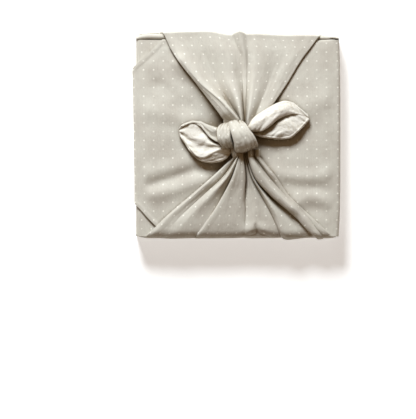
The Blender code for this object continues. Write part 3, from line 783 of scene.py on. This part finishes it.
# The small tuck at the bottom flap's bend: where it is at its point and at the rim, how far out its
# point is and how far it reaches, its sizes, and the puff of cloth round it
TUCK_POINT = 22.4
TUCK_X = 25.0
TUCK_TIP = 101.5
TUCK_REACH = 15.0
TUCK_NARROW = 1.5
TUCK_WIDE = 12.0
TUCK_DIP = 8.0
TUCK_DEPTH = 3.5
PUFF = 3.0
PUFF_WIDTH = 15.0
PUFF_START = 99.0
PUFF_REACH = 10.0

# How much of a ridge's height shows on the end wall, and how sharp its valleys are at the rim
SWELL = {1: 0.9, -1: 0.45}
SHARP = {1: 0.0, -1: 0.55}
# How sharp the valleys are at the throat, and the share of the way there in which the swell fades out
THROAT_SHARP = 0.55
SWELL_FADE = 0.14


def flap_section(features, lines, y_line, reach, sharp, seed):
    """x and height across a flap on one line: its edges turned under, its ridges and its valleys."""
    ways = [abs(line - lines[0]) for line in lines]
    at = min(max(abs(lines[0]) - abs(y_line), 0.0), ways[-1])
    xs = [float(through(ways, f[:5], at)) for f in features]
    hs = [max(float(through(HEIGHT_REACHES, f[5:9], reach)), 0.0) for f in features]
    for k in range(1, len(xs)):
        xs[k] = max(xs[k], xs[k - 1] + LEAST_PLEAT)
    across, heights = [], []
    for k in range(len(xs) - 1):
        span, rise = xs[k + 1] - xs[k], hs[k + 1] - hs[k]
        step = np.arange(FEATURE_STEPS) / FEATURE_STEPS
        climbed = (step if rise > 0 else 1.0 - step) ** (1.0 + ROUND_EASE * features[k].round)
        profile = sharp * np.sin(math.pi / 2 * climbed) + (1.0 - sharp) * smoothstep(climbed)
        rolled = np.sqrt(1.0 - (1.0 - climbed) ** 2)
        profile += features[k].round * (rolled - profile)
        profile += features[k].facet * (climbed - profile)
        lean = features[k].over * min(1.0, abs(rise) / LEAN_RISE)
        lean *= min(1.0, span / (LEAN_DIVISOR * abs(lean) + 0.01))
        share = climbed if rise > 0 else 1.0 - climbed
        across.append(xs[k] + span * share + lean * np.sin(math.pi * share))
        heights.append(min(hs[k], hs[k + 1]) + abs(rise) * profile)
    across = np.concatenate(across + [[xs[-1]]])
    heights = np.concatenate(heights + [[hs[-1]]])
    count = len(across)
    share = np.linspace(0.0, 1.0, count)
    inside = smoothstep(share * RIPPLE_BORDER) * smoothstep((1.0 - share) * RIPPLE_BORDER)
    fine = np.zeros(count)
    for k, (height, lumps, rows) in enumerate(RIPPLES):
        fine += height * rumple(share * lumps, np.full(count, reach * rows), 1.0, seed + k)
    grown = RIPPLE_GROWTH[0] + RIPPLE_GROWTH[1] * reach
    heights = np.maximum(heights + fine * inside * grown, LEAST_HEIGHT)
    angles = np.linspace(0.25, 1.0, 4) * math.pi
    turn = np.stack([1.0 - np.sin(angles), np.cos(angles)], axis=1) * FOLD_RADIUS
    left = [(across[0] + a, heights[0] - FOLD_RADIUS + b) for a, b in turn]
    right = [(across[-1] - a, heights[-1] - FOLD_RADIUS + b) for a, b in turn]
    under = min(TURNED_UNDER, (across[-1] - across[0]) * UNDER_SHARE)
    left.append((across[0] + under, heights[0] - 2 * FOLD_RADIUS))
    right.append((across[-1] - under, heights[-1] - 2 * FOLD_RADIUS))
    across = np.concatenate([[p[0] for p in left[::-1]], across, [p[0] for p in right]])
    heights = np.concatenate([[p[1] for p in left[::-1]], heights, [p[1] for p in right]])
    return across, heights


def tuck_height(x, y):
    """How far the cloth beside the tuck at the bottom bend puffs up, less the tuck's own depth."""
    puff = PUFF * smoothstep((y - PUFF_START) / PUFF_REACH) * np.exp(-(((x - TUCK_X) / PUFF_WIDTH) ** 2))
    left = (y - TUCK_TIP) / TUCK_REACH
    if left <= 0.0:
        return puff
    away = abs(x - TUCK_POINT - (TUCK_X - TUCK_POINT) * left)
    width = TUCK_NARROW + (TUCK_WIDE - TUCK_NARROW) * left
    drawn_in = TUCK_DIP * left * np.exp(-((away / width) ** 2))
    return puff - drawn_in - TUCK_DEPTH * math.sqrt(left) * np.exp(-away / TUCK_NARROW)


def flap(name, end, features, seed, flat):
    """A flap: up the outside of an end wall, over its rim, and gathered to the throat under the knot."""
    lines = FLAP_LINES[end.sign]
    throat = abs(FLAP_THROAT[end.sign])
    bend_in, bend_down = FLAP_BEND[end.sign]
    walls = np.linspace(WALL_FOOT, FLAP_BASE - bend_down, WALL_ROWS)
    arcs = np.radians(np.linspace(90.0 / ARC_ROWS, 90.0, ARC_ROWS))
    rows = [("wall", z) for z in walls] + [("arc", a) for a in arcs]
    rows += [("front", k / FLAP_ROWS) for k in range(1, FLAP_ROWS + 1)]
    grid = []
    for kind, value in rows:
        reach = value if kind == "front" else 0.0
        bent = math.cos(value) if kind == "arc" else float(kind == "wall")
        rim = abs(lines[0]) - bend_in
        y_line = end.sign * (rim + bend_in * bent - (rim - throat) * reach)
        sharp = SHARP[end.sign] + (THROAT_SHARP - SHARP[end.sign]) * reach
        x, height = flap_section(features, lines, y_line, reach, sharp, seed)
        spread = 0.0
        if kind == "wall":
            spread = 1.0 - (value - walls[0]) / (walls[-1] - walls[0])
        left, right = x.min(), x.max()
        left_foot = max(left - FOOT_INSET, LEFT_INNER + FOOT_MARGIN)
        right_foot = min(right + FOOT_INSET, RIGHT_SIDE - FOOT_MARGIN)
        share = (x - left) / (right - left)
        x = x + spread * ((left_foot - left) * (1.0 - share) + (right_foot - right) * share)
        height = height * (1.0 - FOOT_FLATTENED * spread) + CLOTH / 2
        if end.sign < 0:
            tucked = tuck_height(x, abs(y_line)) * (1.0 - spread) ** 4
            height = np.maximum(height + tucked, CLOTH / 2)
        swell = SWELL[end.sign] * height + (1.0 - SWELL[end.sign]) * CLOTH
        wall_y = abs(end_outer(end, x)) - WALL_IN
        if kind == "wall":
            y, z = wall_y + swell, np.full(len(x), value)
        elif kind == "arc":
            y = wall_y - bend_in + bend_in * math.cos(value) + swell
            folds = panel_folds(x, y_line)
            z = FLAP_BASE - bend_down + (bend_down + height + folds) * math.sin(value)
        else:
            away = np.hypot(x - LIFT_CENTRE, y_line - LIFT_CENTRE * end.sign)
            lift = FLAP_LIFT[end.sign] * (1.0 - smoothstep((away - LIFT_START) / LIFT_REACH))
            y = abs(y_line) + (wall_y - bend_in - rim) * (1.0 - reach)
            y = y + swell * (1.0 - smoothstep(reach / SWELL_FADE))
            z = FLAP_BASE + panel_folds(x, y_line) + lift + height
        grid.append(np.stack([x, end.sign * y, z], axis=1))
    grid = np.array(grid)
    if end.sign > 0:
        grid = grid[::-1]
    middle = np.argmin(abs(grid[:, :, 0].mean(axis=0) - PRINT_MIDDLE))
    u = arc_lengths(grid, 1)
    u -= u[:, middle : middle + 1]
    v = np.broadcast_to(arc_lengths(grid, 0)[:, middle : middle + 1], u.shape)
    lay_cloth(name, grid, np.stack([u, v], axis=2), (TAUPE, CREAM), flat)


# The ears

# From root to tip, plan places of an ear's upper and lower edges, and heights over the table. bound
# is the share of the way across at which the roll of the right ear, or the folded-over hem of the
# left ear, ends over the cup; tuck is how far the cup reaches in under it. curl is the share that the
# left ear's lower edge takes, beyond its last ridge.
EarRow = namedtuple(
    "EarRow",
    "up_x up_y low_x low_y bound tuck edge roll hem pocket floor rise low curl",
    defaults=(0,),
)
RIGHT_EAR = rows_of(
    EarRow,
    (4, 10, 9, -2, 0.50, 0.04, 46, 54, 52, 48, 49, 50, 47),
    (10.7, 12.6, 17, 1.6, 0.68, 0.06, 45, 55, 52, 46.5, 47.5, 49, 46.5),
    (16.6, 18.6, 22.4, 1.6, 0.80, 0.09, 44, 55, 51, 45, 46, 47, 45.5),
    (26.6, 26.2, 30, -1, 0.76, 0.11, 42.5, 54.5, 51, 43.5, 44.5, 46, 44.5),
    (38.4, 33.6, 40, -2.6, 0.60, 0.13, 41.5, 53.5, 51, 42, 44, 46.5, 43.5),
    (48.6, 38.8, 51, -3.6, 0.44, 0.13, 41, 52, 50, 41.5, 46.5, 46.5, 43),
    (57.4, 41, 61.5, -2.8, 0.38, 0.09, 41, 50, 48.5, 43, 46, 46, 43),
    (65.4, 38.8, 70.4, 3.4, 0.36, 0.03, 42, 47.2, 46.2, 44.4, 45.2, 45, 43),
    (73, 32.6, 77.6, 10.6, 0.34, 0.01, 42.5, 45, 44.6, 44, 44, 44, 42.5),
    (79.6, 27.2, 82.4, 15.8, 0.30, 0, 41.5, 43, 42.8, 42.4, 42.4, 42.4, 41.5),
    (84, 23.2, 84.8, 20, 0.20, 0, 41, 41.4, 41.4, 41.2, 41.2, 41.2, 41),
)
LEFT_EAR = rows_of(
    EarRow,
    (-10, 8, -5, -14, 0.48, 0.05, 49, 54, 52, 49.5, 50, 52, 46, 0.24),
    (-17.5, 9.6, -7, -19.5, 0.50, 0.06, 49, 55, 53, 49, 50, 52.5, 45.5, 0.30),
    (-23.5, 9.8, -11.5, -25.6, 0.50, 0.06, 48, 55, 53, 48, 50, 52.5, 44.5, 0.34),
    (-30, 11.6, -19.5, -30, 0.42, 0.05, 47.5, 54, 52.3, 47.5, 50.5, 52, 44, 0.31),
    (-36.5, 14, -28.6, -31.4, 0.28, 0.03, 47, 52, 51, 48, 50.5, 51.5, 43.5, 0.23),
    (-43, 16.8, -37.6, -30.2, 0.12, 0.02, 46.5, 49.4, 48.9, 47, 49.5, 50, 43.5, 0.12),
    (-50, 17, -46.4, -26, 0.05, 0.01, 45.5, 46.9, 46.7, 45.6, 47.5, 48.2, 43, 0.07),
    (-57, 15.2, -54.6, -17.4, 0.04, 0.01, 44, 45.2, 45.1, 44, 45.5, 46.2, 42.5, 0.07),
    (-63.4, 12.4, -62.2, -5.6, 0.04, 0, 42.5, 43.8, 43.6, 42.4, 43.6, 44, 42, 0.07),
    (-67.2, 8.4, -67, 2, 0.04, 0, 41.3, 41.8, 41.8, 41.4, 41.8, 41.8, 41, 0.07),
)
EAR_STEPS = 8
EAR_FINE = 9
# The hollow of the left ear's cup: its depth for its width, and the greatest width that counts
HOLLOW_DEPTH = 4.6
WIDEST_HOLLOW = 0.6
# Rumples: their heights, how much they are stretched along the ear, and their sizes
EAR_RUMPLES = ((1.0, 0.3, 6.5), (0.6, 0.4, 3.0))
RUMPLE_SLANT = 0.35
RUMPLE_START = 12.0
# The hem and its soft edge, the seam along it, and the thickness of the cloth, hem and seam
EAR_HEM = 3.2
HEM_SOFT = 0.8
SEAM_IN = 0.3
SEAM_WIDTH = 0.45
EAR_SHEET = 0.8
EAR_HEM_RISE = 1.5
SEAM_DEPTH = 0.9


def rolled_section(row):
    """Across the right ear: the hem tucked under, a fat roll, the pocket behind it and a flared edge."""
    b, rest = row.bound, 1.0 - row.bound
    return (
        (0.05, row.edge),
        (0.0, row.edge + 0.35 * (row.roll - row.edge)),
        (0.14 * b, row.edge + 0.72 * (row.roll - row.edge)),
        (0.48 * b, row.roll),
        (0.82 * b, row.roll - 0.25 * (row.roll - row.hem)),
        (b, row.hem),
        (b - 0.5 * row.tuck, (row.hem + row.pocket) / 2),
        (b - 0.2 * row.tuck, row.pocket),
        (b + 0.3 * rest, row.floor),
        (b + 0.66 * rest, row.rise),
        (b + 0.88 * rest, (row.rise + row.low) / 2 + 0.3),
        (1.0, row.low),
    )


def folded_section(row):
    """Across the left ear: the hem folded over the cup, the cup's ridge and hollow, and a last ridge
    with the lower edge beyond it."""
    b = row.bound
    lip = 1.0 - row.curl
    cup = lip - b
    return (
        (b, row.hem),
        (0.55 * b, (row.roll + row.hem) / 2),
        (0.14 * b + 0.02, row.roll),
        (0.0, (row.roll + row.edge) / 2),
        (0.05, row.edge),
        (b - 0.8 * row.tuck + 0.05, (row.edge + row.pocket) / 2),
        (b + 0.16 * cup, row.pocket),
        (b + 0.44 * cup, row.floor),
        (b + 0.66 * cup, row.floor - HOLLOW_DEPTH * min(cup, WIDEST_HOLLOW)),
        (b + 0.84 * cup, (row.floor + row.rise) / 2 - 1.6),
        (lip, row.rise),
        (lip + 0.3 * row.curl, row.rise - 0.25 * (row.rise - row.low)),
        (lip + 0.75 * row.curl, row.low + 0.25 * (row.rise - row.low)),
        (1.0, row.low),
    )


def ear(name, table, section, seed, flat):
    """A cupped corner of the cloth: its reverse faces up, its outside only where it is folded over."""
    values = np.array(table, float)
    count = (len(table) - 1) * EAR_STEPS + 1
    rows = through(range(len(table)), values, np.arange(count) / EAR_STEPS)
    grid = []
    for here in rows:
        row = EarRow(*here)
        points = np.array(section(row))
        fine = np.arange((len(points) - 1) * EAR_FINE + 1) / EAR_FINE
        points = through(range(len(points)), points, fine)
        up, low = np.array((row.up_x, row.up_y)), np.array((row.low_x, row.low_y))
        place = up + (low - up) * points[:, :1]
        grid.append(np.column_stack([place, points[:, 1]]))
    grid = np.array(grid)
    along = arc_lengths(grid, 0)
    across = arc_lengths(grid, 1)
    width = across[:, -1:]
    fade = smoothstep(along / RUMPLE_START)
    slanted = across + RUMPLE_SLANT * along
    for k, (height, stretch, size) in enumerate(EAR_RUMPLES):
        grid[..., 2] += fade * height * rumple(slanted, along * stretch, size, seed + k)
    from_edge = np.minimum(np.minimum(across, width - across), along[-1:, :] - along)
    hem = smoothstep((EAR_HEM + HEM_SOFT / 2 - from_edge) / HEM_SOFT)
    uv = np.stack([across - width / 2, along], axis=2)
    seam = np.exp(-(((from_edge - EAR_HEM + SEAM_IN) / SEAM_WIDTH) ** 2))
    thickness = EAR_SHEET + EAR_HEM_RISE * hem - SEAM_DEPTH * seam
    slots = (TAUPE, CREAM)
    if grid[-1, 0, 0] > grid[0, 0, 0]:
        slots = (CREAM, TAUPE)
    lay_cloth(name, grid, uv, slots, flat, thickness)


# The knot

# Rows along a band of the knot, and its pleats: where across it each lies, -1 to 1 from left to right
# at the band's start and at its end, how deep it is and how wide its slopes are
KnotRow = namedtuple("KnotRow", "x y z width depth")
Pleat = namedtuple("Pleat", "start end depth width")
LEFT_TURN = rows_of(
    KnotRow,
    (-7.5, 14, 43, 13, 7),
    (-12.5, 11.5, 53, 15, 8),
    (-15, 5, 59.5, 16, 9),
    (-14.6, -2, 61, 15.5, 9),
    (-12.2, -8.5, 58, 14, 8.5),
    (-9.5, -12.5, 51, 12.5, 7),
    (-8, -13, 43, 10, 6),
)
LEFT_PLEATS = rows_of(
    Pleat,
    (-0.55, -0.35, 1.5, 0.45),
    (0.05, 0.2, 1.8, 0.45),
    (0.62, 0.6, 1.4, 0.35),
)
RIGHT_TURN = rows_of(
    KnotRow,
    (-4, 14, 42, 14, 8),
    (-2, 14.5, 53, 17, 9),
    (1.8, 9.5, 61.5, 19.5, 11),
    (5.8, 1, 65.5, 22, 12.5),
    (9.6, -7, 63.5, 25.5, 12.5),
    (11.5, -13.8, 56, 27.5, 8.5),
    (12, -15.6, 46, 26, 7),
)
RIGHT_PLEATS = rows_of(
    Pleat,
    (-0.45, 0.1, 1.0, 0.45),
    (0.15, 0.55, 1.6, 0.42),
    (0.62, 0.8, 1.3, 0.3),
)
UNDER_TURN = rows_of(
    KnotRow,
    (2, -6, 48, 18, 9),
    (1, -16, 49, 15, 8),
    (0.2, -24, 45.5, 9, 6),
    (0, -28.6, 41.5, 3, 3),
)
UNDER_PLEATS = rows_of(Pleat, (-0.5, -0.3, 1.0, 0.4), (0.2, 0.0, 1.4, 0.4), (0.7, 0.4, 1.0, 0.3))
TURN_SIDES = 96
TURN_STEPS = 14
KNOT_MIDDLE = 44.0
KNOT_LEAN = 0.7
FLATTER = 0.8
# How far the pleats wander, and in how many lumps along the band and across it
WANDER = (0.12, 5.0, 2.0)
# Rumples, as on the ears
KNOT_RUMPLES = ((0.5, 0.3, 4.4), (0.25, 0.8, 1.8))
KNOT_SLANT = 0.25


def turn(name, table, pleats, seed, flat):
    """A band of bunched cloth along a route, oval across, with pleats along it."""
    values = np.array(table, float)
    count = (len(table) - 1) * TURN_STEPS + 1
    rows = through(range(len(table)), values, np.arange(count) / TURN_STEPS)
    line = rows[:, :3]
    tangents = np.gradient(line, axis=0)
    tangents /= np.linalg.norm(tangents, axis=1, keepdims=True)
    outward = line * (1.0 - KNOT_LEAN, 1.0, 1.0) - (0.0, 0.0, KNOT_MIDDLE)
    outward -= tangents * (tangents * outward).sum(axis=1, keepdims=True)
    outward /= np.linalg.norm(outward, axis=1, keepdims=True)
    across = np.cross(tangents, outward)
    angles = np.linspace(0.0, 2.0 * math.pi, TURN_SIDES + 1)[None, :]
    way = np.linspace(0.0, 1.0, count)[:, None]
    place = -np.cos(angles)
    wander = WANDER[0] * rumple(way * WANDER[1], place * WANDER[2], 1.0, seed)
    creased = np.zeros((count, TURN_SIDES + 1))
    for pleat in pleats:
        middle = pleat.start + (pleat.end - pleat.start) * way + wander
        near = np.clip(1.0 - abs(place - middle) / pleat.width, 0.0, 1.0)
        creased -= pleat.depth * near**2
    travelled = lengths_along(line)[:, None]
    slanted = rows[:, 3:4] / 2 * place + KNOT_SLANT * travelled
    for k, (height, stretch, size) in enumerate(KNOT_RUMPLES):
        creased += height * rumple(slanted, travelled * stretch, size, seed + 1 + k)
    creased *= np.clip(np.sin(angles) * 2.0, 0.0, 1.0)
    sideways = rows[:, 3:4] / 2 * np.cos(angles)
    upward = rows[:, 4:5] / 2 * np.sign(np.sin(angles)) * abs(np.sin(angles)) ** FLATTER + creased
    grid = line[:, None, :] + across[:, None, :] * sideways[..., None]
    grid += outward[:, None, :] * upward[..., None]
    grid[:, -1] = grid[:, 0]
    u = arc_lengths(grid, 1)
    v = np.broadcast_to(travelled, u.shape)
    lay_cloth(name, grid, np.stack([u, v], axis=2), (CREAM, TAUPE), flat)


# Stage, light and camera

PHOTO_WIDTH, PHOTO_HEIGHT = 416, 419
PHOTO_SCALE = 1.178
PHOTO_ORIGIN = (236.5, 136.0)
FRONT_HEIGHT = 35.0
LENS = 400.0
SENSOR = 36.0
KEY_PLACE = (-0.38, 1.39, 1.13)
KEY_TARGET = (0.0, 0.0, 0.03)
KEY_SIZE = 0.7
KEY_POWER = 51.5
KEY_COLOUR = (0.9, 0.955, 1.0)
SURROUND = (1.0, 0.62, 0.31, 1.0)
SURROUND_STRENGTH = 0.15
PAPER = ((0.93, 0.93, 0.925, 1.0), (0.96, 0.96, 0.955, 1.0))
PAPER_GLOW = 0.5
PAPER_SIZE = 12.0


def camera():
    """Straight above, with a long lens, framed as the photograph is."""
    x = (PHOTO_WIDTH / 2 - PHOTO_ORIGIN[0]) * PHOTO_SCALE * MM
    y = (PHOTO_ORIGIN[1] - PHOTO_HEIGHT / 2) * PHOTO_SCALE * MM
    distance = PHOTO_HEIGHT * PHOTO_SCALE * MM * LENS / SENSOR
    made = bpy.data.cameras.new("camera")
    made.lens = LENS
    made.sensor_width = SENSOR
    made.clip_end = 100.0
    obj = bpy.data.objects.new("camera", made)
    obj.location = (x, y, FRONT_HEIGHT * MM + distance)
    bpy.context.scene.collection.objects.link(obj)
    bpy.context.scene.camera = obj


def lights():
    """One large soft key light from beyond the top flap, and a dim warm surround."""
    made = bpy.data.lights.new("key", "AREA")
    made.shape = "DISK"
    made.size = KEY_SIZE
    made.energy = KEY_POWER
    made.color = KEY_COLOUR
    key = bpy.data.objects.new("key", made)
    key.location = KEY_PLACE
    key.rotation_euler = (Vector(KEY_TARGET) - Vector(KEY_PLACE)).to_track_quat("-Z", "Y").to_euler()
    bpy.context.scene.collection.objects.link(key)
    world = bpy.data.worlds.new("studio")
    world.use_nodes = True
    background = world.node_tree.nodes["Background"]
    background.inputs["Color"].default_value = SURROUND
    background.inputs["Strength"].default_value = SURROUND_STRENGTH
    bpy.context.scene.world = world
    bpy.context.scene.view_settings.view_transform = "Standard"


def floor():
    """A plain white sheet that the wrap lies on."""
    nodes = Nodes("white paper")
    place = nodes.add("ShaderNodeTexCoord").outputs["Object"]
    grain = nodes.noise(place, 40.0, detail=3.0)
    nodes.surface("Base Color", nodes.blend(grain, *PAPER))
    nodes.surface("Roughness", 0.95)
    nodes.surface("Emission Color", (1.0, 1.0, 1.0, 1.0))
    nodes.surface("Emission Strength", PAPER_GLOW)
    bpy.ops.mesh.primitive_plane_add(size=PAPER_SIZE)
    plane = bpy.context.active_object
    plane.name = "floor"
    plane.data.materials.append(nodes.material)


camera()
lights()
floor()

card = card_finish()
for material_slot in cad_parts["gift_box"].material_slots:
    material_slot.material = card

crossing_corner("cloth_right_corner", RIGHT_WAY, 2.0, 104, True, (0.24, 0.42))
crossing_corner("cloth_left_corner", LEFT_WAY, 4.0, 44, False, (0.24, 0.37))
end_walls()
flap("cloth_top_flap", TOP_END, TOP_FLAP, 21, (0.20, 0.17))
flap("cloth_bottom_flap", BOTTOM_END, BOTTOM_FLAP, 31, (0.20, 0.16))
turn("cloth_knot_left", LEFT_TURN, LEFT_PLEATS, 41, (0.05, 0.052))
turn("cloth_knot_over", RIGHT_TURN, RIGHT_PLEATS, 51, (0.06, 0.06))
turn("cloth_knot_under", UNDER_TURN, UNDER_PLEATS, 61, (0.04, 0.03))
ear("cloth_right_ear", RIGHT_EAR, rolled_section, 71, (0.06, 0.085))
ear("cloth_left_ear", LEFT_EAR, folded_section, 81, (0.06, 0.085))

shade_folds()
